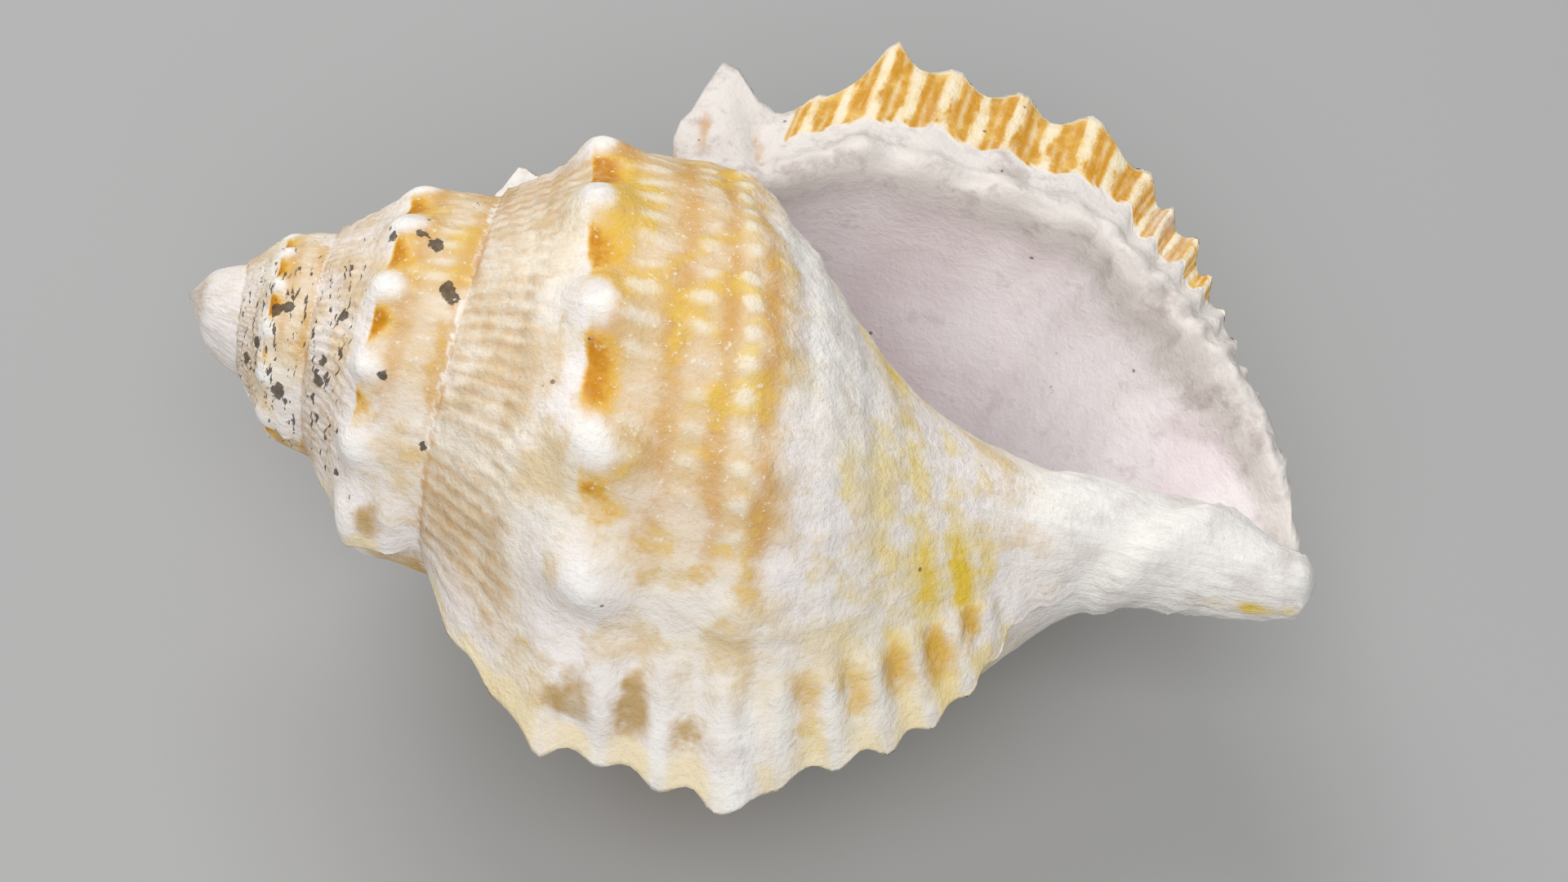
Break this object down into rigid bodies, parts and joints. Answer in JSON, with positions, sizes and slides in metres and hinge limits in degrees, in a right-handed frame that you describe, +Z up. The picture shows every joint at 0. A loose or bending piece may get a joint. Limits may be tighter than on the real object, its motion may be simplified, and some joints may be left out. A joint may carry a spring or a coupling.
{
  "type": "triton shell",
  "caption": "Weathered triton seashell with knobbed whorls, flared ribbed varices and a wide open mouth, lying on its back as a loose ornament.",
  "frame": {"origin": "on the resting surface, below the centre of the shell's box", "axes": "+X from the apex towards the end of the siphonal canal, +Y towards the outer lip, +Z up out of the mouth"},
  "size_m": [0.1096, 0.0832, 0.0593],
  "materials": {
    "shell_surface": null
  },
  "bodies": {
    "root": {"shell": "shell_surface"}
  },
  "joints": []
}
